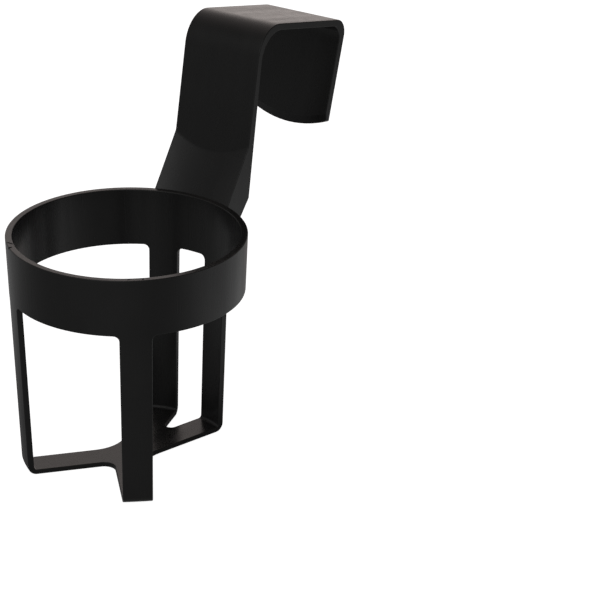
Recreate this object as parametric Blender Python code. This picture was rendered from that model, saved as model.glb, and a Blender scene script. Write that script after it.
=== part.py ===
"""Hook-over cup holder: a four-legged cup cage carried by a broad flat hook.

Frame: metres, +Z up. The origin is on the axis of the cup ring at the level of
the underside of the base. +Y points from the cup towards the hook.
The holder is one plastic moulding. Each member of it is an object of its own,
and members that run into each other stand JOINT_GAP apart.
"""
from math import acos, atan2, cos, pi, radians, sin, sqrt, tan

import bmesh
import bpy
from mathutils import Vector

# ---------------------------------------------------------------- driving sizes
JOINT_GAP = 0.0003

RIM_RADIUS = 0.0402            # outside of the ring at its top edge
RIM_HEIGHT = 0.0823            # top edge of the ring above the base
RING_HEIGHT = 0.0200
CAGE_TAPER = radians(2.35)     # ring and legs lie on one cone, narrower below
RIM_WALL = 0.0023              # ring wall at the top edge
LEG_WALL = 0.0021              # ring wall at its lower edge, and legs
BASE_WALL = 0.0017

LEG_WIDTH = 0.0108             # at the ring
BAR_WIDTH = 0.0101             # base bars, and the legs at their feet
FRONT_LEG_ANGLE = radians(39.8)    # each side of -Y, seen from above
REAR_LEG_ANGLE = radians(16.6)     # each side of +Y
WINDOW_CORNER = 0.0020             # rounding where a leg runs into the ring
LEG_BEND = 0.0033                  # outside radius of the bend under a leg

HUB_Y = -0.0018                # where the four base bars meet
SIDE_FILLET = 0.0130           # roundings of the base cross
FRONT_FILLET = 0.0040
REAR_FILLET = 0.0020
FRONT_REACH = 0.0150           # length of the cross's front arms, before the bars

HOOK_WIDTH = 0.0302
ARM_FLARE = radians(34.5)      # slope of the arm's conical front from vertical
ARM_WALL = 0.0023
GUSSET_WALL = 0.0022
GUSSET_TOE_HEIGHT = 0.0654     # where the gusset leaves the ring wall
GUSSET_HEEL_HEIGHT = 0.0811    # corner at the bottom of the hook's back
HEEL_ROUNDING = 0.0015

FRONT_FACE = (0.0501, 0.1007)  # a point (y, z) of the upright's front face
FRONT_LEAN = radians(11.4)
BACK_FACE = (0.0503, 0.0823)   # a point of the upright's back face
BACK_LEAN = radians(9.6)
TOP_FACE = (0.0753, 0.1367)    # a point of the top of the bridge
BRIDGE_SLOPE = radians(14.0)   # the bridge falls towards the leaf
BRIDGE_WALL = 0.0023
LEAF_FACE = (0.1084, 0.1178)   # a point of the outer face of the leaf
LEAF_LEAN = radians(18.0)
LEAF_WALL = 0.0030
LEAF_CORNER_HEIGHT = 0.0932    # lower corners of the leaf
LEAF_SAG = 0.0032              # the middle of the lower edge hangs lower
LEAD_IN = 0.0028               # thinned band along the lower edge
LEAD_IN_WALL = 0.0018
FRONT_BEND_OUTER = 0.0110
FRONT_BEND_INNER = 0.0100
BACK_BEND_OUTER = 0.0055
BACK_BEND_INNER = 0.0050

EDGE_ROUNDING = 0.0003
SHARP_EDGE = radians(40)       # edges that turn more than this are rounded
SMOOTH_EDGE = radians(30)      # edges that turn less than this are shaded smooth
SEARCH_LOW = 0.0600            # heights between which all edges of the arm lie
SEARCH_HIGH = 0.1250
SEARCH_HALVINGS = 50
RING_STEPS = 96
BEND_STEPS = 12
CORNER_STEPS = 3               # steps in the smallest roundings
WINDOW_STEPS = 4
ARM_COLUMNS = 13               # places across the hook where its side view is cut
ARM_STEPS = 5                  # steps up the arm's cone
GUSSET_STEPS = 3
BLACK = (0.018, 0.018, 0.019, 1.0)


# ------------------------------------------------------------------ flat geometry
class Line:
    """A straight line in a plane, through a point along a direction."""

    def __init__(self, point, direction):
        self.point = Vector(point)
        self.direction = Vector(direction).normalized()

    def shifted(self, left):
        """The parallel line a distance to the left of the direction."""
        sideways = Vector((-self.direction.y, self.direction.x))
        return Line(self.point + sideways * left, self.direction)

    def meet(self, other):
        """The point where two lines cross."""
        a, b = self.direction, other.direction
        offset = other.point - self.point
        along = (offset.x * b.y - offset.y * b.x) / (a.x * b.y - a.y * b.x)
        return self.point + a * along

    def at_y(self, level):
        """The point of the line at a second coordinate."""
        return self.point + self.direction * ((level - self.point.y) / self.direction.y)


def fillet(before, after, radius, steps=BEND_STEPS):
    """Points of an arc of a radius, from one line over to the next."""
    corner = before.meet(after)
    half = acos(max(-1.0, min(1.0, before.direction.dot(after.direction)))) / 2
    start = corner - before.direction * radius * tan(half)
    turn = before.direction.x * after.direction.y - before.direction.y * after.direction.x
    side = 1.0 if turn > 0 else -1.0
    sideways = Vector((-before.direction.y, before.direction.x)) * side
    centre = start + sideways * radius
    points = []
    for step in range(steps + 1):
        angle = side * 2 * half * step / steps
        spoke = start - centre
        points.append(centre + Vector((spoke.x * cos(angle) - spoke.y * sin(angle),
                                       spoke.x * sin(angle) + spoke.y * cos(angle))))
    return points


# ------------------------------------------------------------------ solid helpers
def new_object(name, mesh_data):
    """Link a finished bmesh to the scene as a smooth-shaded object."""
    bmesh.ops.recalc_face_normals(mesh_data, faces=mesh_data.faces)
    mesh = bpy.data.meshes.new(name)
    mesh_data.to_mesh(mesh)
    mesh_data.free()
    mesh.shade_smooth()
    mesh.set_sharp_from_angle(angle=SMOOTH_EDGE)
    obj = bpy.data.objects.new(name, mesh)
    bpy.context.scene.collection.objects.link(obj)
    obj.data.materials.append(plastic(name))
    return obj


def plastic(name):
    """A black matte plastic of the object's own."""
    material = bpy.data.materials.new(name + "_plastic")
    material.use_nodes = True
    shader = material.node_tree.nodes["Principled BSDF"]
    shader.inputs["Base Color"].default_value = BLACK
    shader.inputs["Roughness"].default_value = 0.5
    material.diffuse_color = BLACK
    return material


def loft(sections):
    """Join equal closed loops into one solid.

    Returns it with its two caps and its walls: walls[i] are the faces between
    point i and the next point of the loops.
    """
    solid = bmesh.new()
    rows = [[solid.verts.new(point) for point in section] for section in sections]
    walls = [[] for _ in rows[0]]
    for row, following in zip(rows, rows[1:]):
        for i, wall in enumerate(walls):
            j = (i + 1) % len(row)
            wall.append(solid.faces.new((row[i], row[j], following[j], following[i])))
    caps = [solid.faces.new(reversed(rows[0])), solid.faces.new(rows[-1])]
    bmesh.ops.recalc_face_normals(solid, faces=solid.faces)
    return solid, caps, walls


def round_edges(solid, joint_walls, radius=EDGE_ROUNDING):
    """Round the free sharp edges and leave those around joint faces square."""
    joints = {face for wall in joint_walls for face in wall}
    chosen = []
    for edge in solid.edges:
        if edge.calc_face_angle(0.0) < SHARP_EDGE:
            continue
        if joints.isdisjoint(edge.link_faces):
            chosen.append(edge)
    bmesh.ops.bevel(solid, geom=chosen, offset=radius, segments=2, profile=0.5,
                    affect="EDGES", clamp_overlap=True)


def columns(half_width, count=ARM_COLUMNS):
    """Evenly spaced places across a width, from one side to the other."""
    return [half_width * (2 * i / (count - 1) - 1) for i in range(count)]


# ---------------------------------------------------------------------- cup cage
def cage_radius(height):
    """Outside radius of the ring and legs at a height."""
    return RIM_RADIUS - tan(CAGE_TAPER) * (RIM_HEIGHT - height)


def build_ring():
    """The band round the cup, thicker at its top edge."""
    low = RIM_HEIGHT - RING_HEIGHT
    outer = Line((cage_radius(low), low), (RIM_RADIUS - cage_radius(low), RING_HEIGHT))
    top = Line((RIM_RADIUS, RIM_HEIGHT), (-1, 0))
    inner_low = cage_radius(low) - LEG_WALL
    inner_top = RIM_RADIUS - RIM_WALL
    inner = Line((inner_top, RIM_HEIGHT), (inner_low - inner_top, -RING_HEIGHT))
    bottom = Line((inner_low, low), (1, 0))
    sides = (outer, top, inner, bottom)
    profile = []
    for side, following in zip(sides, sides[1:] + sides[:1]):
        profile += fillet(side, following, EDGE_ROUNDING, CORNER_STEPS)
    solid = bmesh.new()
    rows = []
    for step in range(RING_STEPS):
        angle = 2 * pi * step / RING_STEPS
        rows.append([solid.verts.new((p.x * cos(angle), p.x * sin(angle), p.y)) for p in profile])
    for step in range(RING_STEPS):
        row, following = rows[step], rows[(step + 1) % RING_STEPS]
        for i in range(len(profile)):
            j = (i + 1) % len(profile)
            solid.faces.new((row[i], row[j], following[j], following[i]))
    new_object("cup_ring", solid)


def leg_bends():
    """Outer and inner arcs of the bend under a leg, which end at the same radius."""
    face = Line((cage_radius(0.0), 0.0), (-sin(CAGE_TAPER), -cos(CAGE_TAPER)))
    floor = Line((0.0, 0.0), (-1, 0))
    outer = fillet(face, floor, LEG_BEND)
    inner_face, inner_floor = face.shifted(-LEG_WALL), floor.shifted(-BASE_WALL)
    reach = inner_face.meet(inner_floor).x - outer[-1].x
    inner = fillet(inner_face, inner_floor, reach / tan((pi / 2 - CAGE_TAPER) / 2))
    return outer, inner


def leg_stations():
    """Down a leg: (outer point, inner point, half width, bow), as (radius, height)."""
    top = RIM_HEIGHT - RING_HEIGHT - JOINT_GAP
    stations = []
    for step in range(WINDOW_STEPS + 1):
        turn = pi / 2 * step / WINDOW_STEPS
        drop = WINDOW_CORNER * (1 - cos(turn))
        flare = WINDOW_CORNER * (1 - sin(turn))
        height = top - drop
        outer = Vector((cage_radius(height), height))
        stations.append((outer, outer - Vector((LEG_WALL, 0)), LEG_WIDTH / 2 + flare, 1.0))
    for step, (outer, inner) in enumerate(zip(*leg_bends())):
        stations.append((outer, inner, BAR_WIDTH / 2, 1.0 - step / BEND_STEPS))
    return stations


def build_leg(name, angle):
    """A flat strap from the ring down, bent inwards level with the base.

    It is modelled facing +X and turned about the ring's axis to its place.
    """
    spread = (-1.0, -0.5, 0.0, 0.5, 1.0)
    sections = []
    for outer, inner, half, bow in leg_stations():
        loop = []
        for corner, order in ((outer, spread), (inner, reversed(spread))):
            for share in order:
                aside = share * half
                sag = bow * (corner.x - sqrt(corner.x ** 2 - aside ** 2))
                loop.append(Vector((corner.x - sag, aside, corner.y)))
        sections.append(loop)
    solid, caps, _ = loft(sections)
    round_edges(solid, [caps])
    leg = new_object(name, solid)
    leg.rotation_euler.z = angle


def leg_end(angle):
    """Line across the base where the bend of a leg ends, less the joint gap."""
    outwards = Vector((cos(angle), sin(angle)))
    foot = leg_bends()[0][-1].x
    return Line(outwards * (foot - JOINT_GAP), (-outwards.y, outwards.x))


def bar_line(angle):
    """Centre line of the base from the hub towards the foot of a leg."""
    hub = Vector((0.0, HUB_Y))
    return Line(hub, leg_end(angle).point - hub)


def square_cut(line, distance):
    """Line square across another one, a distance along it."""
    return Line(line.point + line.direction * distance, (-line.direction.y, line.direction.x))


def base_plate(outline):
    """A plate of the base, from an outline seen from above, and its walls."""
    solid, _, walls = loft([[Vector((p.x, p.y, level)) for p in outline]
                            for level in (0.0, BASE_WALL)])
    return solid, walls


def build_front_bar(name, angle):
    """A flat bar between the base cross and the bend of a front leg."""
    line = bar_line(angle)
    left, right = line.shifted(BAR_WIDTH / 2), line.shifted(-BAR_WIDTH / 2)
    near, far = square_cut(line, FRONT_REACH + JOINT_GAP), leg_end(angle)
    solid, walls = base_plate((right.meet(near), right.meet(far),
                               left.meet(far), left.meet(near)))
    far_end, near_end = walls[1], walls[3]
    round_edges(solid, [far_end, near_end])
    new_object(name, solid)


def build_cross(front_angles, rear_angles):
    """The middle of the base: four arms joined by roundings.

    The front arms stop short at the bars, the rear arms run on to their legs.
    """
    arms = [(bar_line(angle), square_cut(bar_line(angle), FRONT_REACH)) for angle in front_angles]
    arms += [(bar_line(angle), leg_end(angle)) for angle in rear_angles]
    arms.sort(key=lambda arm: atan2(arm[0].direction.y, arm[0].direction.x))
    fillets = (FRONT_FILLET, SIDE_FILLET, REAR_FILLET, SIDE_FILLET)
    outline, tip_walls = [], []
    for i, (line, tip) in enumerate(arms):
        following, _ = arms[(i + 1) % len(arms)]
        left, right = line.shifted(BAR_WIDTH / 2), line.shifted(-BAR_WIDTH / 2)
        tip_walls.append(len(outline))
        outline += [right.meet(tip), left.meet(tip)]
        inwards = Line(left.point, -left.direction)
        outline += fillet(inwards, following.shifted(-BAR_WIDTH / 2), fillets[i])
    solid, walls = base_plate(outline)
    round_edges(solid, [walls[i] for i in tip_walls])
    new_object("base_cross", solid)


# ------------------------------------------------------------------ arm and hook
FRONT = Line(FRONT_FACE, (sin(FRONT_LEAN), cos(FRONT_LEAN)))
BACK = Line(BACK_FACE, (sin(BACK_LEAN), cos(BACK_LEAN)))
TOP = Line(TOP_FACE, (cos(BRIDGE_SLOPE), -sin(BRIDGE_SLOPE)))
UNDER = TOP.shifted(-BRIDGE_WALL)
LEAF_OUT = Line(LEAF_FACE, (-sin(LEAF_LEAN), -cos(LEAF_LEAN)))
LEAF_IN = LEAF_OUT.shifted(-LEAF_WALL)


def upright_cut():
    """Line square to the upright where the hook's front bend begins."""
    end = fillet(BACK, UNDER, FRONT_BEND_INNER)[0]
    return Line(end, (FRONT.direction.y, -FRONT.direction.x))


def leaf_cut():
    """Line square to the leaf where the hook's back bend ends."""
    end = fillet(UNDER, LEAF_IN, BACK_BEND_INNER)[-1]
    return Line(end, (LEAF_OUT.direction.y, -LEAF_OUT.direction.x))


def arm_y(aside, height, offset=0.0):
    """Depth of the arm's conical front, or of a cone a distance behind it."""
    radius = RIM_RADIUS + offset / cos(ARM_FLARE) + tan(ARM_FLARE) * (height - RIM_HEIGHT)
    return sqrt(radius ** 2 - aside ** 2)


def ring_y(aside, height):
    """Depth of the back of the ring, and the joint gap beyond it."""
    return sqrt((cage_radius(height) + JOINT_GAP) ** 2 - aside ** 2)


def crossing(first, second):
    """Height at which two depths are equal."""
    low, high = SEARCH_LOW, SEARCH_HIGH
    sign = 1.0 if first(low) > second(low) else -1.0
    for _ in range(SEARCH_HALVINGS):
        middle = (low + high) / 2
        if sign * (first(middle) - second(middle)) > 0:
            low = middle
        else:
            high = middle
    return (low + high) / 2


def stretch(depth, aside, low, high, steps):
    """Points of a side view along a depth between two heights."""
    levels = [low + (high - low) * i / steps for i in range(steps + 1)]
    return [Vector((aside, depth(level), level)) for level in levels]


def build_arm():
    """The sloping skin that carries the cone of the ring back to the upright."""
    sections = []
    for aside in columns(HOOK_WIDTH / 2):
        def front(height):
            return arm_y(aside, height)

        def behind(height):
            return arm_y(aside, height, ARM_WALL)

        def ring(height):
            return ring_y(aside, height)

        def back(height):
            return BACK.at_y(height).x

        lip, head = crossing(front, ring), crossing(front, back)
        heel, toe = crossing(behind, back), crossing(behind, ring)
        loop = stretch(front, aside, lip, head, ARM_STEPS)
        loop += stretch(behind, aside, heel, toe, ARM_STEPS)
        sections.append(loop)
    solid, _, walls = loft(sections)
    round_edges(solid, walls[ARM_STEPS:])
    new_object("sloping_arm", solid)


def build_gusset(name, side):
    """A side web under the arm, from the ring wall to the back of the hook."""
    sections = []
    for aside in (side * HOOK_WIDTH / 2, side * (HOOK_WIDTH / 2 - GUSSET_WALL)):
        def ring(height):
            return ring_y(aside, height)

        def skin(height):
            return arm_y(aside, height, ARM_WALL + JOINT_GAP)

        def back(height):
            return BACK.at_y(height).x

        shoulder, head = crossing(skin, ring), crossing(skin, back)
        heel = BACK.at_y(GUSSET_HEEL_HEIGHT)
        toe = Vector((ring(GUSSET_TOE_HEIGHT), GUSSET_TOE_HEIGHT))
        downwards = Line(heel, -BACK.direction)
        inwards = Line(heel, toe - heel)
        loop = stretch(ring, aside, GUSSET_TOE_HEIGHT, shoulder, GUSSET_STEPS)
        loop += stretch(skin, aside, shoulder, head, ARM_STEPS)[1:]
        corner = fillet(downwards, inwards, HEEL_ROUNDING, CORNER_STEPS)
        loop += [Vector((aside, p.x, p.y)) for p in corner]
        sections.append(loop)
    solid, _, walls = loft(sections)
    round_edges(solid, walls[:GUSSET_STEPS + ARM_STEPS], EDGE_ROUNDING / 2)
    new_object(name, solid)


def build_upright():
    """The flat plate of the hook that rises from the arm."""
    cut = upright_cut().shifted(-JOINT_GAP)
    top_front, top_back = cut.meet(FRONT), cut.meet(BACK)
    sections = []
    for aside in columns(HOOK_WIDTH / 2):
        def skin(height):
            return arm_y(aside, height, -JOINT_GAP)

        low_front = crossing(skin, lambda height: FRONT.at_y(height).x)
        low_back = crossing(skin, lambda height: BACK.at_y(height).x)
        loop = [Vector((aside, FRONT.at_y(low_front).x, low_front)),
                Vector((aside, top_front.x, top_front.y)),
                Vector((aside, top_back.x, top_back.y)),
                Vector((aside, BACK.at_y(low_back).x, low_back))]
        sections.append(loop)
    solid, _, (_, top, _, bottom) = loft(sections)
    round_edges(solid, [top, bottom])
    new_object("upright_plate", solid)


def build_bridge():
    """The top of the hook: a wide front bend, a flat plate and a tighter back bend."""
    outer = [upright_cut().meet(FRONT)]
    outer += fillet(FRONT, TOP, FRONT_BEND_OUTER)
    outer += fillet(TOP, LEAF_OUT, BACK_BEND_OUTER)
    outer.append(leaf_cut().meet(LEAF_OUT))
    inner = fillet(BACK, UNDER, FRONT_BEND_INNER)
    inner += fillet(UNDER, LEAF_IN, BACK_BEND_INNER)
    outline = outer + inner[::-1]
    sections = [[Vector((aside, p.x, p.y)) for p in outline]
                for aside in (-HOOK_WIDTH / 2, HOOK_WIDTH / 2)]
    solid, _, walls = loft(sections)
    leaf_end, upright_end = walls[len(outer) - 1], walls[-1]
    round_edges(solid, [leaf_end, upright_end])
    new_object("hook_bridge", solid)


def build_leaf():
    """The free leaf of the hook, bowed along its lower edge and thinned there."""
    start = leaf_cut().meet(LEAF_OUT) + LEAF_OUT.direction * JOINT_GAP
    corner_length = (start.y - LEAF_CORNER_HEIGHT) / cos(LEAF_LEAN)
    inwards = Vector((LEAF_OUT.direction.y, -LEAF_OUT.direction.x))
    half = HOOK_WIDTH / 2
    arc_radius = (half ** 2 + LEAF_SAG ** 2) / (2 * LEAF_SAG)
    sections = []
    for aside in columns(half):
        sag = sqrt(arc_radius ** 2 - aside ** 2) - (arc_radius - LEAF_SAG)
        length = corner_length + sag
        corners = (start,
                   start + LEAF_OUT.direction * length,
                   start + LEAF_OUT.direction * length + inwards * LEAD_IN_WALL,
                   start + LEAF_OUT.direction * (length - LEAD_IN) + inwards * LEAF_WALL,
                   start + inwards * LEAF_WALL)
        sections.append([Vector((aside, p.x, p.y)) for p in corners])
    solid, _, (_, _, _, _, top) = loft(sections)
    round_edges(solid, [top])
    new_object("hook_leaf", solid)


# ------------------------------------------------------------------------- build
def main():
    for obj in list(bpy.data.objects):
        bpy.data.objects.remove(obj, do_unlink=True)
    front_left, front_right = -pi / 2 - FRONT_LEG_ANGLE, -pi / 2 + FRONT_LEG_ANGLE
    rear_left, rear_right = pi / 2 + REAR_LEG_ANGLE, pi / 2 - REAR_LEG_ANGLE
    build_ring()
    build_leg("front_left_leg", front_left)
    build_leg("front_right_leg", front_right)
    build_leg("rear_left_leg", rear_left)
    build_leg("rear_right_leg", rear_right)
    build_front_bar("front_left_base_bar", front_left)
    build_front_bar("front_right_base_bar", front_right)
    build_cross((front_left, front_right), (rear_left, rear_right))
    build_arm()
    build_gusset("left_gusset", -1)
    build_gusset("right_gusset", 1)
    build_upright()
    build_bridge()
    build_leaf()


main()
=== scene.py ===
"""Looks of the hook-over cup holder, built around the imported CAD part.

The real holder is one black moulding. The CAD keeps its members apart, so two seamless
pieces stand for them here: the cup cage and the hook hanger, which run into each other
where the hook's arm grows out of the ring.
"""
from math import acos, asin, cos, pi, radians, sin, sqrt, tan

import bmesh
import bpy
from mathutils import Matrix, Vector


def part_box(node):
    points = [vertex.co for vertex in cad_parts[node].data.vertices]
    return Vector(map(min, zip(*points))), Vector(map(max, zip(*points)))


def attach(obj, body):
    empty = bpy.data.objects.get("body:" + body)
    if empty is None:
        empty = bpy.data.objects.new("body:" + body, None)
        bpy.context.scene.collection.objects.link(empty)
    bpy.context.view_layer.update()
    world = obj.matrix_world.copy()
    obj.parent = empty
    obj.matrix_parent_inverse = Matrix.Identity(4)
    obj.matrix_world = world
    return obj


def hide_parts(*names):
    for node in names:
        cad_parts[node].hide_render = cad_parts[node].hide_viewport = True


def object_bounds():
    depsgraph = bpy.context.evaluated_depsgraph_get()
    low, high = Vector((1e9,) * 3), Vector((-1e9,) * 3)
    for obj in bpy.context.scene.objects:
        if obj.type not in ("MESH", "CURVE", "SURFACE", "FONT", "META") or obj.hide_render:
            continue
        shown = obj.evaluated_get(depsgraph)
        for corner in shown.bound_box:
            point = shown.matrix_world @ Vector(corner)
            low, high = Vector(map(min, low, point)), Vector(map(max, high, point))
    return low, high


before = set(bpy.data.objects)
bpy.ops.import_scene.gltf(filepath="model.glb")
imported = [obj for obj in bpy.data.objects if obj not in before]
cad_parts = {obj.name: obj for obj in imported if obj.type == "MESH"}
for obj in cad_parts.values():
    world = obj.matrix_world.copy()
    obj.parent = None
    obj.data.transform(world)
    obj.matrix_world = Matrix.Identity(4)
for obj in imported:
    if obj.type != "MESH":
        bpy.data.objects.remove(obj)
CAD_LOW, CAD_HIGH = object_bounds()

# ------------------------------------------------------- sizes taken from the frame
RING_LOW, RING_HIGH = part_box("cup_ring")
_, CROSS_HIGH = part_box("base_cross")
_, BRIDGE_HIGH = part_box("hook_bridge")
GUSSET_LOW, GUSSET_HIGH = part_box("left_gusset")

RIM_RADIUS = RING_HIGH.x
RIM_HEIGHT = RING_HIGH.z
BAND_LOW = RING_LOW.z
BASE_WALL = CROSS_HIGH.z
HOOK_HALF = BRIDGE_HIGH.x
GUSSET_WALL = GUSSET_HIGH.x - GUSSET_LOW.x
GUSSET_TOE_HEIGHT = GUSSET_LOW.z

# ------------------------------------------------------------- shape of the moulding
CAGE_TAPER = radians(2.35)
RIM_WALL = 0.0023
LEG_WALL = 0.0021
LEG_HALF = 0.0054              # half widths of the legs at the ring, and of the base bars
BAR_HALF = 0.00505
LEG_ANGLES = (radians(-129.8), radians(-50.2), radians(73.4), radians(106.6))
WINDOW_CORNER = 0.0020
LEG_BEND = 0.0033
HUB = Vector((0.0, -0.0018))
CROSS_FILLETS = (0.0040, 0.0130, 0.0020, 0.0130)   # front, right, rear, left

ARM_FLARE = radians(34.5)
ARM_WALL = 0.0023
GUSSET_HEEL_HEIGHT = 0.0811
HEEL_ROUNDING = 0.0015
BURIED = 0.0010                # depth to which the hanger reaches into the ring wall
KINK_BLEND = 0.0006            # reach of the soft kink between arm and upright

FRONT_FACE, FRONT_LEAN = (0.0501, 0.1007), radians(11.4)
BACK_FACE, BACK_LEAN = (0.0503, 0.0823), radians(9.6)
TOP_FACE, BRIDGE_SLOPE = (0.0753, 0.1367), radians(14.0)
LEAF_FACE, LEAF_LEAN = (0.1084, 0.1178), radians(18.0)
BRIDGE_WALL = 0.0023
LEAF_WALL = 0.0030
LEAF_CORNER_HEIGHT = 0.0932
LEAF_SAG = 0.0032
LEAD_IN = 0.0028
LEAD_IN_WALL = 0.0018
FRONT_BEND_OUTER, FRONT_BEND_INNER = 0.0110, 0.0100
BACK_BEND_OUTER, BACK_BEND_INNER = 0.0055, 0.0050

# Small nicks and mould marks in the ring's top edge: degrees round the ring, radius,
# degrees that its length is turned from the spoke, half length, half width.
RIM_MARKS = ((-132.6, 0.0390, -49, 0.00130, 0.00036),
             (-127.4, 0.0397, 0, 0.00065, 0.00050),
             (-49.6, 0.0380, 90, 0.00230, 0.00045),
             (-52.7, 0.0387, -50, 0.00100, 0.00032),
             (-46.4, 0.0387, 0, 0.00100, 0.00030))
RIM_MARK_DEPTH = 0.0008        # depth below the top edge to which they reach
RIM_MARK_CORE = 0.8            # share of a mark that is fully dark

# --------------------------------------------------------------- fineness of the mesh
EDGE_ROUNDING = 0.0003
ROUNDING_SEGMENTS = 3
SHARP_EDGE = radians(40)       # edges that turn more than this are rounded
CREASE = radians(18)           # edges that turn less than this are shaded smooth
MERGE = 1e-6                   # corners nearer than this are one corner
SEARCH_LOW, SEARCH_HIGH = 0.0600, 0.1250   # heights between which the arm's edges lie
SEARCH_HALVINGS = 50
BEND_STEPS = 12
CORNER_STEPS = 6
BAND_STEPS = 3
WINDOW_STEP = radians(3.5)     # the ring's columns over an open window
LEG_SPREAD = tuple(i / 4 - 1 for i in range(9))   # columns across a leg, as shares
ARM_STEPS = 5
CHANNEL_COLUMNS = 13

# ----------------------------------------------------------------------- the plastic
PLASTIC_IOR = 1.46
DARK_TONE = (0.0125, 0.0123, 0.0121, 1.0)
PALE_TONE = (0.0180, 0.0177, 0.0174, 1.0)
# Paler tone along the sharp edges: partly wear, partly a painted highlight where the rounded
# edges catch the light
WEAR_AND_HIGHLIGHT_TONE = (0.038, 0.037, 0.036, 1.0)
TONE_SPREAD = (0.30, 0.72)      # of the clouds: where the tone is dark and pale
WEAR_AND_HIGHLIGHT_REACH = 0.0006             # distance from an edge over which it is paler, from wear and painted highlight
WEAR_AND_HIGHLIGHT_LIKENESS = 0.80            # likeness of flat and rounded normals at full wear and full painted highlight
WEAR_AND_HIGHLIGHT_SAMPLES = 6
# Painted shade in the rim's nicks and mould marks: share by which their colour is darkened
MARK_PAINTED_SHADE = 0.97
MARK_RELIEF = 5.0               # depth of a mark, in heights of the grain
CLOUDS = (45.0, 45.0, 45.0)     # ripples per metre of each pattern, along x, y and z
GRAIN = (2600.0, 2600.0, 2600.0)
STREAKS = (300.0, 300.0, 14.0)  # run up and down the legs and the ring
FLOW = (230.0, 8.0, 8.0)        # run along the hook
STREAK_SPREAD = (0.7, 1.3)      # of streaks and flow added up
ROUGHNESS = (0.20, 0.32)        # where the streaks are faint and strong
BUMP_STRENGTH = 0.35
BUMP_DISTANCE = 0.00003
MIX_FIRST, MIX_SECOND, MIX_RESULT = 6, 7, 2   # colour sockets of a Mix node

# ------------------------------------------------------------------ floor and light
FLOOR_REACH = 6.0
FLOOR_DROP = 0.0001             # the floor lies just under the base
FLOOR_SQUARES = 8
PAPER = (0.75, 0.75, 0.75, 1.0)
PAPER_GLOW = 0.94
WHITE = (1.0, 1.0, 1.0, 1.0)
# Soft patches of light round the object: (degrees round from the camera, degrees up,
# sharpness, colour). The backdrop is bright and warm near the horizon, the sides are grey.
LIGHT_PATCHES = ((180, 8, 10, (0.82, 0.735, 0.70)),
                 (180, 58, 7, (0.36, 0.32, 0.31)),
                 (156, -26, 30, (0.17, 0.155, 0.15)),
                 (115, -34, 10, (0.46, 0.46, 0.46)),
                 (65, -32, 10, (0.44, 0.44, 0.44)),
                 (-15, -20, 3, (0.19, 0.19, 0.19)),
                 (-150, -30, 20, (0.15, 0.15, 0.15)),
                 (-115, 0, 4, (0.26, 0.26, 0.26)),
                 (-25, 42, 6, (0.44, 0.44, 0.44)))
AMBIENT = (0.02, 0.02, 0.02)
SOFTBOX_TURN, SOFTBOX_UP = -15, 45         # degrees round from the camera, degrees up
SOFTBOX_DISTANCE = 1.2
SOFTBOX_SIZE = (0.9, 0.6)
SOFTBOX_BRIGHTNESS = 0.45

# ----------------------------------------------------------------------- the camera
EYE = Vector((0.58024, -0.79091, 0.49391))
YAW, PITCH, ROLL = radians(32.907), radians(-23.982), radians(0.385)
LENS, SENSOR = 192.77, 36.0     # millimetres
NEAREST, FARTHEST = 0.05, 50.0


# ------------------------------------------------------------------ flat geometry
class Line:
    """A straight line in a plane, through a point along a direction."""

    def __init__(self, point, direction):
        self.point = Vector(point)
        self.direction = Vector(direction).normalized()

    def shifted(self, left):
        """The parallel line a distance to the left of the direction."""
        sideways = Vector((-self.direction.y, self.direction.x))
        return Line(self.point + sideways * left, self.direction)

    def meet(self, other):
        """The point where two lines cross."""
        a, b = self.direction, other.direction
        offset = other.point - self.point
        along = (offset.x * b.y - offset.y * b.x) / (a.x * b.y - a.y * b.x)
        return self.point + a * along

    def at_height(self, level):
        """First coordinate of the line at a second coordinate."""
        return self.point.x + self.direction.x * (level - self.point.y) / self.direction.y


def fillet(before, after, radius, steps=BEND_STEPS):
    """Points of an arc of a radius, from one line over to the next."""
    corner = before.meet(after)
    half = acos(max(-1.0, min(1.0, before.direction.dot(after.direction)))) / 2
    start = corner - before.direction * radius * tan(half)
    turn = before.direction.x * after.direction.y - before.direction.y * after.direction.x
    side = 1.0 if turn > 0 else -1.0
    sideways = Vector((-before.direction.y, before.direction.x)) * side
    centre = start + sideways * radius
    points = []
    for step in range(steps + 1):
        angle = side * 2 * half * step / steps
        spoke = start - centre
        points.append(centre + Vector((spoke.x * cos(angle) - spoke.y * sin(angle),
                                       spoke.x * sin(angle) + spoke.y * cos(angle))))
    return points


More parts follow.
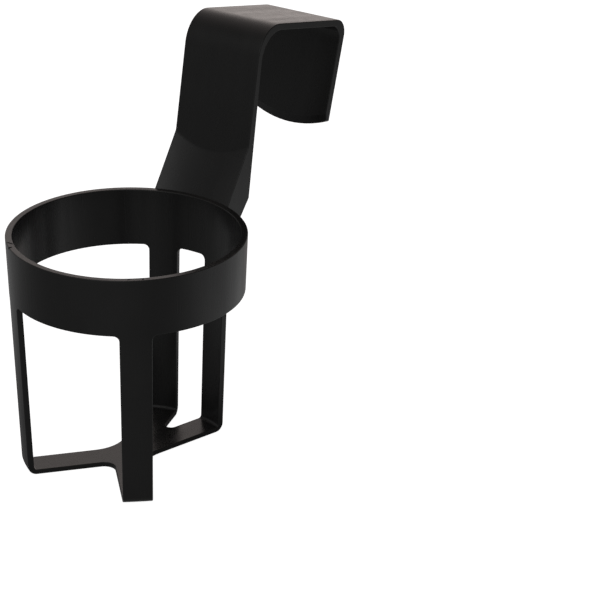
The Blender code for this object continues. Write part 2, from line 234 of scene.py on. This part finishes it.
# -------------------------------------------------------------------- mesh helpers
class Skin:
    """A mesh in which faces that name the same place share a corner."""

    def __init__(self):
        self.mesh = bmesh.new()
        self.corners = {}

    def corner(self, place):
        """The mesh's corner at a place, made when it is first named."""
        key = tuple(round(value / MERGE) for value in place)
        if key not in self.corners:
            self.corners[key] = self.mesh.verts.new(place)
        return self.corners[key]

    def face(self, places):
        """Add a face, without the corners that fall together."""
        ring = [self.corner(place) for place in places]
        ring = [v for i, v in enumerate(ring) if v is not ring[i - 1]]
        if len(set(ring)) >= 3:
            self.mesh.faces.new(ring)

    def strip(self, row, following, closed=False):
        """Add quads between two equal rows of places."""
        count = len(row) if closed else len(row) - 1
        for i in range(count):
            j = (i + 1) % len(row)
            self.face((row[i], row[j], following[j], following[i]))

    def finish(self, name, replaced):
        """Turn the mesh into a piece with rounded edges that stands for CAD nodes."""
        bmesh.ops.remove_doubles(self.mesh, verts=self.mesh.verts, dist=MERGE)
        bmesh.ops.recalc_face_normals(self.mesh, faces=self.mesh.faces)
        mesh = bpy.data.meshes.new(name)
        self.mesh.to_mesh(mesh)
        self.mesh.free()
        mesh.shade_smooth()
        mesh.set_sharp_from_angle(angle=CREASE)
        piece = bpy.data.objects.new(name, mesh)
        bpy.context.scene.collection.objects.link(piece)
        bevel = piece.modifiers.new("rounded_edges", "BEVEL")
        bevel.width = EDGE_ROUNDING
        bevel.segments = ROUNDING_SEGMENTS
        bevel.limit_method = "ANGLE"
        bevel.angle_limit = SHARP_EDGE
        bevel.use_clamp_overlap = False
        bevel.harden_normals = True
        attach(piece, "root")
        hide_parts(*replaced)
        return piece


# ------------------------------------------------------------------------ cup cage
def cage_radius(height):
    """Outside radius of the ring and legs at a height."""
    return RIM_RADIUS - tan(CAGE_TAPER) * (RIM_HEIGHT - height)


def leg_stations():
    """Down a leg: (outer, inner, half width, bow), outer and inner as (radius, height)."""
    stations = []
    for height in (BAND_LOW, BAND_LOW - WINDOW_CORNER):
        outer = Vector((cage_radius(height), height))
        stations.append((outer, outer - Vector((LEG_WALL, 0)), LEG_HALF, 1.0))
    face = Line((cage_radius(0.0), 0.0), (-sin(CAGE_TAPER), -cos(CAGE_TAPER)))
    floor = Line((0.0, 0.0), (-1, 0))
    outer_bend = fillet(face, floor, LEG_BEND)
    inner_face, inner_floor = face.shifted(-LEG_WALL), floor.shifted(-BASE_WALL)
    reach = inner_face.meet(inner_floor).x - outer_bend[-1].x
    inner_bend = fillet(inner_face, inner_floor, reach / tan((pi / 2 - CAGE_TAPER) / 2))
    for step, (outer, inner) in enumerate(zip(outer_bend, inner_bend)):
        stations.append((outer, inner, BAR_HALF, 1.0 - step / BEND_STEPS))
    return stations


def leg_rows(angle):
    """Rows of places across a leg, from the ring down: (outer row, inner row)."""
    turned = Matrix.Rotation(angle, 3, "Z")
    rows = []
    for outer, inner, half, bow in leg_stations():
        pair = []
        for corner in (outer, inner):
            narrowing = bow * corner.x / outer.x + 1 - bow
            row = []
            for share in LEG_SPREAD:
                aside = share * half * narrowing
                sag = bow * (corner.x - sqrt(corner.x ** 2 - aside ** 2))
                row.append(turned @ Vector((corner.x - sag, aside, corner.y)))
            pair.append(row)
        rows.append(pair)
    return rows


def window_corner(angle, side, wall):
    """Places round a window's rounded corner, from the ring's edge down to the leg's side."""
    places = []
    for step in range(CORNER_STEPS + 1):
        turn = pi / 2 * step / CORNER_STEPS
        height = BAND_LOW - WINDOW_CORNER * (1 - cos(turn))
        aside = LEG_HALF + WINDOW_CORNER * (1 - sin(turn))
        around_ring = angle + side * asin(aside / cage_radius(height))
        radius = cage_radius(height) - wall
        places.append(Vector((radius * cos(around_ring), radius * sin(around_ring), height)))
    return places


def band_columns():
    """Columns round the ring: their angles, and what hangs below each: a leg's number
    with "leg", "start" or "end" corner, or None where a window is open."""
    widest = asin((LEG_HALF + WINDOW_CORNER) / cage_radius(BAND_LOW))
    angles, below = [], []
    for number, angle in enumerate(LEG_ANGLES):
        own = [angle + asin(share * LEG_HALF / cage_radius(BAND_LOW)) for share in LEG_SPREAD]
        start, end = angle - widest, angle + widest
        gap = (LEG_ANGLES[(number + 1) % len(LEG_ANGLES)] - widest - end) % (2 * pi)
        count = round(gap / WINDOW_STEP)
        angles += [start] + own + [end + gap * step / count for step in range(count)]
        below += [(number, "start")] + [(number, "leg")] * (len(own) - 1) + [(number, "end")]
        below += [None] * count
    return angles, below


def ring_row(angles, radius, height):
    """Places round the axis at a radius and a height."""
    return [Vector((radius * cos(a), radius * sin(a), height)) for a in angles]


def build_band(skin):
    """The ring, down to the windows and to the tops of the legs."""
    angles, below = band_columns()
    sides = []
    for top_wall, low_wall in ((0.0, 0.0), (RIM_WALL, LEG_WALL)):
        rows = []
        for step in range(BAND_STEPS + 1):
            share = step / BAND_STEPS
            height = BAND_LOW + (RIM_HEIGHT - BAND_LOW) * share
            wall = low_wall + (top_wall - low_wall) * share
            rows.append(ring_row(angles, cage_radius(height) - wall, height))
        sides.append(rows)
        for row, following in zip(rows[1:], rows[2:]):
            skin.strip(row, following, closed=True)
        build_lowest_band(skin, rows, below, low_wall)
    outside, inside = sides
    skin.strip(outside[-1], inside[-1], closed=True)
    for i, leg in enumerate(below):
        if leg is None:
            j = (i + 1) % len(angles)
            skin.face((outside[0][i], outside[0][j], inside[0][j], inside[0][i]))
    for angle in LEG_ANGLES:
        for side in (-1, 1):
            skin.strip(window_corner(angle, side, 0.0), window_corner(angle, side, LEG_WALL))


def build_lowest_band(skin, rows, below, wall):
    """Lowest faces of one side of the ring, with the window corners cut into them."""
    for i, leg in enumerate(below):
        j = (i + 1) % len(below)
        low, high = (rows[0][i], rows[0][j]), (rows[1][i], rows[1][j])
        if leg is not None and leg[1] == "start":
            skin.face(window_corner(LEG_ANGLES[leg[0]], -1, wall) + [low[1], high[1], high[0]])
        elif leg is not None and leg[1] == "end":
            skin.face(window_corner(LEG_ANGLES[leg[0]], 1, wall) + [low[0], high[0], high[1]])
        else:
            skin.face((low[0], low[1], high[1], high[0]))


def build_cage():
    """Ring, four legs and the cross under the cup, as one skin."""
    skin = Skin()
    build_band(skin)
    legs = [leg_rows(angle) for angle in LEG_ANGLES]
    for rows in legs:
        for (outer, inner), (next_outer, next_inner) in zip(rows, rows[1:]):
            skin.strip(outer, next_outer)
            skin.strip(inner, next_inner)
        for (outer, inner), (next_outer, next_inner) in zip(rows[1:], rows[2:]):
            for side in (0, -1):
                skin.face((outer[side], next_outer[side], next_inner[side], inner[side]))
    build_cross(skin, [rows[-1] for rows in legs])
    return skin.finish("cup_cage", (
        "cup_ring", "front_left_leg", "front_right_leg", "rear_left_leg", "rear_right_leg",
        "front_left_base_bar", "front_right_base_bar", "base_cross"))


def build_cross(skin, feet):
    """Top, underside and edges of the base, out to the last rows of the legs."""
    lines = []
    for angle, (outer, _) in zip(LEG_ANGLES, feet):
        middle = outer[len(outer) // 2]
        lines.append(Line(HUB, middle.xy - HUB))
    under, top = [], []
    for i, line in enumerate(lines):
        outer, inner = feet[i]
        following = lines[(i + 1) % len(lines)]
        inwards = Line(line.shifted(BAR_HALF).point, -line.direction)
        arc = fillet(inwards, following.shifted(-BAR_HALF), CROSS_FILLETS[i])
        lower = [Vector((p.x, p.y, 0.0)) for p in arc]
        upper = [Vector((p.x, p.y, BASE_WALL)) for p in arc]
        next_outer, next_inner = feet[(i + 1) % len(lines)]
        skin.strip([outer[-1]] + lower + [next_outer[0]], [inner[-1]] + upper + [next_inner[0]])
        under += outer + lower
        top += inner + upper
    skin.face(under)
    skin.face(top)


# -------------------------------------------------------------------- hook hanger
FRONT = Line(FRONT_FACE, (sin(FRONT_LEAN), cos(FRONT_LEAN)))
BACK = Line(BACK_FACE, (sin(BACK_LEAN), cos(BACK_LEAN)))
TOP = Line(TOP_FACE, (cos(BRIDGE_SLOPE), -sin(BRIDGE_SLOPE)))
UNDER = TOP.shifted(-BRIDGE_WALL)
LEAF_OUT = Line(LEAF_FACE, (-sin(LEAF_LEAN), -cos(LEAF_LEAN)))
LEAF_IN = LEAF_OUT.shifted(-LEAF_WALL)


def cone_depth(aside, height, offset=0.0):
    """Depth of the arm's conical front, or of a cone a distance behind it."""
    radius = RIM_RADIUS + offset / cos(ARM_FLARE) + tan(ARM_FLARE) * (height - RIM_HEIGHT)
    return sqrt(radius ** 2 - aside ** 2)


def buried_depth(aside, height):
    """Depth of the hanger's hidden end inside the ring wall."""
    return sqrt((cage_radius(height) - BURIED) ** 2 - aside ** 2)


def crossing(first, second):
    """Height at which two depths are equal."""
    low, high = SEARCH_LOW, SEARCH_HIGH
    sign = 1.0 if first(low) > second(low) else -1.0
    for _ in range(SEARCH_HALVINGS):
        middle = (low + high) / 2
        if sign * (first(middle) - second(middle)) > 0:
            low = middle
        else:
            high = middle
    return (low + high) / 2


def stretch(depth, low, high, steps):
    """Points (depth, height) along a depth between two heights."""
    levels = [low + (high - low) * i / steps for i in range(steps + 1)]
    return [Vector((depth(level), level)) for level in levels]


def soft_corner(start, corner, end, steps=CORNER_STEPS):
    """Points of a quadratic curve that leaves one straight and joins the next."""
    points = []
    for step in range(steps + 1):
        t = step / steps
        points.append(start * (1 - t) ** 2 + corner * 2 * t * (1 - t) + end * t ** 2)
    return points


def leaf_end(aside):
    """Lower end of the leaf: outer corner, thinned corner and start of the thinning."""
    corner_length = (LEAF_OUT.point.y - LEAF_CORNER_HEIGHT) / cos(LEAF_LEAN)
    arc_radius = (HOOK_HALF ** 2 + LEAF_SAG ** 2) / (2 * LEAF_SAG)
    sag = sqrt(arc_radius ** 2 - aside ** 2) - (arc_radius - LEAF_SAG)
    inwards = Vector((LEAF_OUT.direction.y, -LEAF_OUT.direction.x))
    tip = LEAF_OUT.point + LEAF_OUT.direction * (corner_length + sag)
    return [tip, tip + inwards * LEAD_IN_WALL,
            tip - LEAF_OUT.direction * LEAD_IN + inwards * LEAF_WALL]


def side_view(aside):
    """Outline of the hook at a place across it: (from the ring over to the back, channel
    end, gusset end). The ends run from the upright's back to the ring."""
    def cone(height):
        return cone_depth(aside, height)

    def behind(height):
        return cone_depth(aside, height, ARM_WALL)

    def ring(height):
        return buried_depth(aside, height)

    root, kink = crossing(cone, ring), crossing(cone, FRONT.at_height)
    heel, toe = crossing(behind, BACK.at_height), crossing(behind, ring)
    low, high = kink - KINK_BLEND, kink + KINK_BLEND
    outline = stretch(cone, root, low, ARM_STEPS)[:-1]
    outline += soft_corner(Vector((cone(low), low)), Vector((cone(kink), kink)),
                           Vector((FRONT.at_height(high), high)))
    outline += fillet(FRONT, TOP, FRONT_BEND_OUTER)
    outline += fillet(TOP, LEAF_OUT, BACK_BEND_OUTER)
    outline += leaf_end(aside)
    outline += reversed(fillet(UNDER, LEAF_IN, BACK_BEND_INNER))
    outline += reversed(fillet(BACK, UNDER, FRONT_BEND_INNER))
    channel = stretch(behind, heel, toe, ARM_STEPS)
    outline.append(channel[0])
    corner = Vector((BACK.at_height(GUSSET_HEEL_HEIGHT), GUSSET_HEEL_HEIGHT))
    gusset_toe = Vector((ring(GUSSET_TOE_HEIGHT), GUSSET_TOE_HEIGHT))
    gusset = [channel[0]]
    gusset += fillet(Line(corner, -BACK.direction), Line(corner, gusset_toe - corner),
                     HEEL_ROUNDING)
    gusset += [gusset_toe, channel[-1]]
    return outline, channel, gusset


def across(aside, points):
    """Points of a side view as places in the object."""
    return [Vector((aside, p.x, p.y)) for p in points]


def build_hanger():
    """Arm, gussets, upright, bridge and leaf, as one skin."""
    skin = Skin()
    inner = HOOK_HALF - GUSSET_WALL
    channel_columns = [inner * (2 * i / (CHANNEL_COLUMNS - 1) - 1)
                       for i in range(CHANNEL_COLUMNS)]
    runs = ((channel_columns, False), ((-HOOK_HALF, -inner), True), ((inner, HOOK_HALF), True))
    for asides, is_gusset in runs:
        loops = []
        for aside in asides:
            outline, channel, gusset = side_view(aside)
            end = gusset if is_gusset else channel
            loops.append(across(aside, outline + end[1:]))
        for loop, following in zip(loops, loops[1:]):
            skin.strip(loop, following, closed=True)
        if is_gusset:
            outer_cap = loops[0] if asides[0] < 0 else loops[-1]
            skin.face(outer_cap)
    for aside in (-inner, inner):
        _, channel, gusset = side_view(aside)
        skin.face(across(aside, channel[:-1] + gusset[:0:-1]))
    return skin.finish("hook_hanger", (
        "sloping_arm", "left_gusset", "right_gusset", "upright_plate", "hook_bridge",
        "hook_leaf"))


# ----------------------------------------------------------------- shader helpers
def feed(tree, socket, value):
    """Link a socket to another one, or set it to a constant."""
    if isinstance(value, bpy.types.NodeSocket):
        tree.links.new(value, socket)
    else:
        socket.default_value = value


def add_node(tree, kind, **values):
    """Add a node and feed its sockets, by name with underscores for spaces."""
    node = tree.nodes.new("ShaderNode" + kind)
    for name, value in values.items():
        feed(tree, node.inputs[name.replace("_", " ")], value)
    return node


def math_node(tree, operation, first, second=0.0):
    """Result of an operation on one or two numbers."""
    node = add_node(tree, "Math")
    node.operation = operation
    feed(tree, node.inputs[0], first)
    feed(tree, node.inputs[1], second)
    return node.outputs["Value"]


def vector_node(tree, operation, first, second=(0.0, 0.0, 0.0)):
    """Result of an operation on one or two vectors."""
    node = add_node(tree, "VectorMath")
    node.operation = operation
    feed(tree, node.inputs[0], first)
    feed(tree, node.inputs[1], second)
    return node.outputs["Value" if operation == "DOT_PRODUCT" else "Vector"]


def mapped(tree, value, start, end, low=0.0, high=1.0):
    """A number moved from one range over to another, and held inside it."""
    node = add_node(tree, "MapRange", Value=value, From_Min=start, From_Max=end,
                    To_Min=low, To_Max=high)
    return node.outputs["Result"]


def noise(tree, place, ripples, detail, roughness):
    """Noise with a number of ripples per metre along each axis."""
    node = add_node(tree, "TexNoise", Vector=vector_node(tree, "MULTIPLY", place, ripples),
                    Scale=1.0, Detail=detail, Roughness=roughness)
    return node.outputs["Fac"]


def mixed_shader(tree, share, first, second):
    """Shader that goes from one over to another with a share."""
    mix = add_node(tree, "MixShader")
    for socket, source in zip(mix.inputs, (share, first, second)):
        tree.links.new(source, socket)
    return mix.outputs["Shader"]


# --------------------------------------------------------------------- the material
def rim_marks(tree, place):
    """One inside the ring's nicks and mould marks, zero elsewhere."""
    marked = 0.0
    for angle, radius, turn, half_length, half_width in RIM_MARKS:
        centre = Vector((radius * cos(radians(angle)), radius * sin(radians(angle)),
                         RIM_HEIGHT))
        turned = add_node(tree, "VectorRotate", Vector=place, Center=centre,
                          Angle=-radians(angle + turn))
        turned.rotation_type = "Z_AXIS"
        offset = vector_node(tree, "SUBTRACT", turned.outputs["Vector"], centre)
        shares = vector_node(tree, "MULTIPLY", offset,
                             (1 / half_length, 1 / half_width, 1 / RIM_MARK_DEPTH))
        parts = add_node(tree, "SeparateXYZ", Vector=vector_node(tree, "ABSOLUTE", shares))
        farthest = math_node(tree, "MAXIMUM", parts.outputs["X"], parts.outputs["Y"])
        farthest = math_node(tree, "MAXIMUM", farthest, parts.outputs["Z"])
        inside = mapped(tree, farthest, 1.0, RIM_MARK_CORE)
        marked = math_node(tree, "MAXIMUM", inside, marked)
    return marked


def wear_and_highlight_edges(tree):
    """One along the sharp edges, zero on the faces between them."""
    rounded = add_node(tree, "Bevel", Radius=WEAR_AND_HIGHLIGHT_REACH)
    rounded.samples = WEAR_AND_HIGHLIGHT_SAMPLES
    flat = add_node(tree, "NewGeometry")
    likeness = vector_node(tree, "DOT_PRODUCT", rounded.outputs["Normal"],
                           flat.outputs["Normal"])
    return mapped(tree, likeness, 1.0, WEAR_AND_HIGHLIGHT_LIKENESS)


def plastic_colour(tree, place):
    """Warm black that drifts between two tones and is paler on the sharp edges: partly wear,
    partly a painted highlight where the rounded edges catch the light.
    """
    tone = add_node(tree, "ValToRGB", Fac=noise(tree, place, CLOUDS, 4.0, 0.6))
    dark, pale = tone.color_ramp.elements
    dark.position, pale.position = TONE_SPREAD
    dark.color, pale.color = DARK_TONE, PALE_TONE
    mix = add_node(tree, "Mix")
    mix.data_type = "RGBA"
    # Painted highlight and wear: paler along the sharp edges
    feed(tree, mix.inputs["Factor"], wear_and_highlight_edges(tree))
    feed(tree, mix.inputs[MIX_FIRST], tone.outputs["Color"])
    feed(tree, mix.inputs[MIX_SECOND], WEAR_AND_HIGHLIGHT_TONE)
    return mix.outputs[MIX_RESULT]


def black_plastic():
    """Fine-textured black moulding, with faint streaks, and the marks in its rim darkened with
    painted shade.
    """
    material = bpy.data.materials.new("black_plastic_moulded")
    material.use_nodes = True
    tree = material.node_tree
    shader = tree.nodes["Principled BSDF"]
    shader.inputs["IOR"].default_value = PLASTIC_IOR
    place = add_node(tree, "TexCoord").outputs["Object"]
    marked = rim_marks(tree, place)

    # Painted shade: the colour is darkened inside the rim's nicks and mould marks
    mark_shade_factor = math_node(tree, "SUBTRACT", 1.0,
                         math_node(tree, "MULTIPLY", marked, MARK_PAINTED_SHADE))
    colour = vector_node(tree, "MULTIPLY", plastic_colour(tree, place), mark_shade_factor)
    feed(tree, shader.inputs["Base Color"], colour)

    streaks = math_node(tree, "ADD", noise(tree, place, STREAKS, 3.0, 0.6),
                        noise(tree, place, FLOW, 2.0, 0.5))
    gloss = mapped(tree, streaks, *STREAK_SPREAD, *ROUGHNESS)
    feed(tree, shader.inputs["Roughness"], math_node(tree, "MAXIMUM", gloss, marked))

    relief = math_node(tree, "SUBTRACT", noise(tree, place, GRAIN, 2.0, 0.55),
                       math_node(tree, "MULTIPLY", marked, MARK_RELIEF))
    bump = add_node(tree, "Bump", Strength=BUMP_STRENGTH, Distance=BUMP_DISTANCE,
                    Height=relief)
    feed(tree, shader.inputs["Normal"], bump.outputs["Normal"])
    return material


# ------------------------------------------------------------------ floor and light
def around(turn, up):
    """Direction at an angle round from the camera's side and an angle up."""
    azimuth = YAW - pi / 2 + radians(turn)
    return Vector((cos(azimuth) * cos(radians(up)), sin(azimuth) * cos(radians(up)),
                   sin(radians(up))))


def patch_light(tree, way):
    """Colour of the surroundings in a direction: the sum of the soft patches."""
    total = AMBIENT
    for turn, up, sharpness, colour in LIGHT_PATCHES:
        towards = vector_node(tree, "DOT_PRODUCT", way, around(turn, up))
        apart = math_node(tree, "SUBTRACT", towards, 1.0)
        fall = math_node(tree, "EXPONENT", math_node(tree, "MULTIPLY", apart, sharpness))
        glow = vector_node(tree, "MULTIPLY", colour, fall)
        total = vector_node(tree, "ADD", glow, total)
    return total


def only_for_camera(tree, seen, felt):
    """Shader that shows one look to the camera and gives another to the object."""
    rays = add_node(tree, "LightPath")
    return mixed_shader(tree, rays.outputs["Is Camera Ray"], felt, seen)


def floor_paper():
    """White to the camera from above, the surroundings' light to the object, clear below."""
    material = bpy.data.materials.new("studio_floor_paper")
    material.use_nodes = True
    tree = material.node_tree
    tree.nodes.clear()
    paper = add_node(tree, "BsdfDiffuse", Color=PAPER)
    glow = add_node(tree, "Emission", Color=WHITE, Strength=PAPER_GLOW)
    bright = add_node(tree, "AddShader")
    tree.links.new(paper.outputs["BSDF"], bright.inputs[0])
    tree.links.new(glow.outputs["Emission"], bright.inputs[1])
    side = add_node(tree, "NewGeometry")
    from_object = vector_node(tree, "SUBTRACT", side.outputs["Position"],
                              (CAD_LOW + CAD_HIGH) / 2)
    way = vector_node(tree, "NORMALIZE", from_object)
    dim = add_node(tree, "Emission", Color=patch_light(tree, way), Strength=1.0)
    look = only_for_camera(tree, bright.outputs["Shader"], dim.outputs["Emission"])
    clear = add_node(tree, "BsdfTransparent")
    both = mixed_shader(tree, side.outputs["Backfacing"], look, clear.outputs["BSDF"])
    add_node(tree, "OutputMaterial", Surface=both)
    return material


def build_floor():
    """A wide pale floor."""
    grid = bmesh.new()
    bmesh.ops.create_grid(grid, x_segments=FLOOR_SQUARES, y_segments=FLOOR_SQUARES,
                          size=FLOOR_REACH)
    mesh = bpy.data.meshes.new("studio_floor")
    grid.to_mesh(mesh)
    grid.free()
    mesh.materials.append(floor_paper())
    floor = bpy.data.objects.new("studio_floor", mesh)
    floor.location.z = -FLOOR_DROP
    bpy.context.scene.collection.objects.link(floor)


def build_world():
    """Pale surroundings, with the soft patches of light that the object mirrors."""
    world = bpy.data.worlds.new("studio")
    bpy.context.scene.world = world
    world.use_nodes = True
    tree = world.node_tree
    tree.nodes.clear()
    way = add_node(tree, "TexCoord").outputs["Generated"]
    felt = add_node(tree, "Background", Color=patch_light(tree, way), Strength=1.0)
    seen = add_node(tree, "Background", Color=WHITE, Strength=1.0)
    look = only_for_camera(tree, seen.outputs["Background"], felt.outputs["Background"])
    add_node(tree, "OutputWorld", Surface=look)


def build_softbox():
    """A wide lamp above the camera's side, turned to the object's middle."""
    lamp = bpy.data.lights.new("front_softbox", "AREA")
    lamp.shape = "RECTANGLE"
    lamp.size, lamp.size_y = SOFTBOX_SIZE
    lamp.energy = SOFTBOX_BRIGHTNESS * pi * SOFTBOX_SIZE[0] * SOFTBOX_SIZE[1]
    outwards = around(SOFTBOX_TURN, SOFTBOX_UP)
    light = bpy.data.objects.new("front_softbox", lamp)
    light.location = (CAD_LOW + CAD_HIGH) / 2 + outwards * SOFTBOX_DISTANCE
    light.rotation_mode = "QUATERNION"
    light.rotation_quaternion = (-outwards).to_track_quat("-Z", "Y")
    bpy.context.scene.collection.objects.link(light)


def build_camera():
    """The camera at the photograph's viewing angle."""
    data = bpy.data.cameras.new("camera")
    data.lens = LENS
    data.sensor_width = SENSOR
    data.clip_start = NEAREST
    data.clip_end = FARTHEST
    camera = bpy.data.objects.new("camera", data)
    turned = (Matrix.Rotation(YAW, 4, "Z") @ Matrix.Rotation(pi / 2 + PITCH, 4, "X")
              @ Matrix.Rotation(ROLL, 4, "Z"))
    camera.matrix_world = Matrix.Translation(EYE) @ turned
    bpy.context.scene.collection.objects.link(camera)
    bpy.context.scene.camera = camera


# ----------------------------------------------------------------------- the scene
def main():
    build_camera()
    plastic = black_plastic()
    for piece in (build_cage(), build_hanger()):
        piece.data.materials.append(plastic)
    build_floor()
    build_world()
    build_softbox()
    bpy.context.scene.view_settings.view_transform = "Standard"


main()
